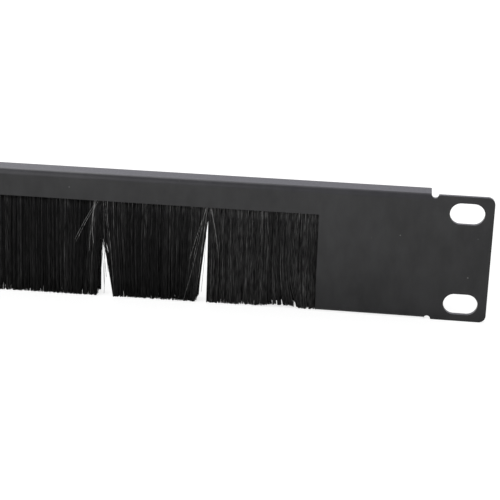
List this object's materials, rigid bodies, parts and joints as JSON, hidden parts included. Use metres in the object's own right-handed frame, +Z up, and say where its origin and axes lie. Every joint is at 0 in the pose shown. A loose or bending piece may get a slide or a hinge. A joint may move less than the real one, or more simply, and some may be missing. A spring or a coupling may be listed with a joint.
{
  "type": "rack brush strip panel",
  "caption": "One-unit rack panel folded from black sheet steel, with a long window that a strip brush closes, so that cables pass through.",
  "frame": {"origin": "centre of the four rack slots, on the back face of the ears, which lies against the rack's rails", "axes": "+X along the panel, to the right as seen from the front; +Y out of the back, towards the rails; +Z up"},
  "size_m": [0.4826, 0.0096, 0.0436],
  "materials": {
    "powder_coat": "satin black powder coat, fine texture",
    "channel_steel": "rolled galvanised steel",
    "wire_steel": "drawn steel wire",
    "bristle_nylon": "black nylon bristles",
    "stud_steel": "copper-washed weld stud",
    "zinc_plate": "bright zinc plate"
  },
  "bodies": {
    "root": {"front_panel": "powder_coat", "brush_channel": "channel_steel", "core_wire": "wire_steel", "bristles": "bristle_nylon", "weld_stud_1": "stud_steel", "weld_stud_2": "stud_steel", "weld_stud_3": "stud_steel", "weld_stud_4": "stud_steel", "weld_stud_5": "stud_steel", "weld_stud_6": "stud_steel", "washer_1": "zinc_plate", "washer_2": "zinc_plate", "washer_3": "zinc_plate", "washer_4": "zinc_plate", "washer_5": "zinc_plate", "washer_6": "zinc_plate", "hex_nut_1": "zinc_plate", "hex_nut_2": "zinc_plate", "hex_nut_3": "zinc_plate", "hex_nut_4": "zinc_plate", "hex_nut_5": "zinc_plate", "hex_nut_6": "zinc_plate"}
  },
  "joints": []
}
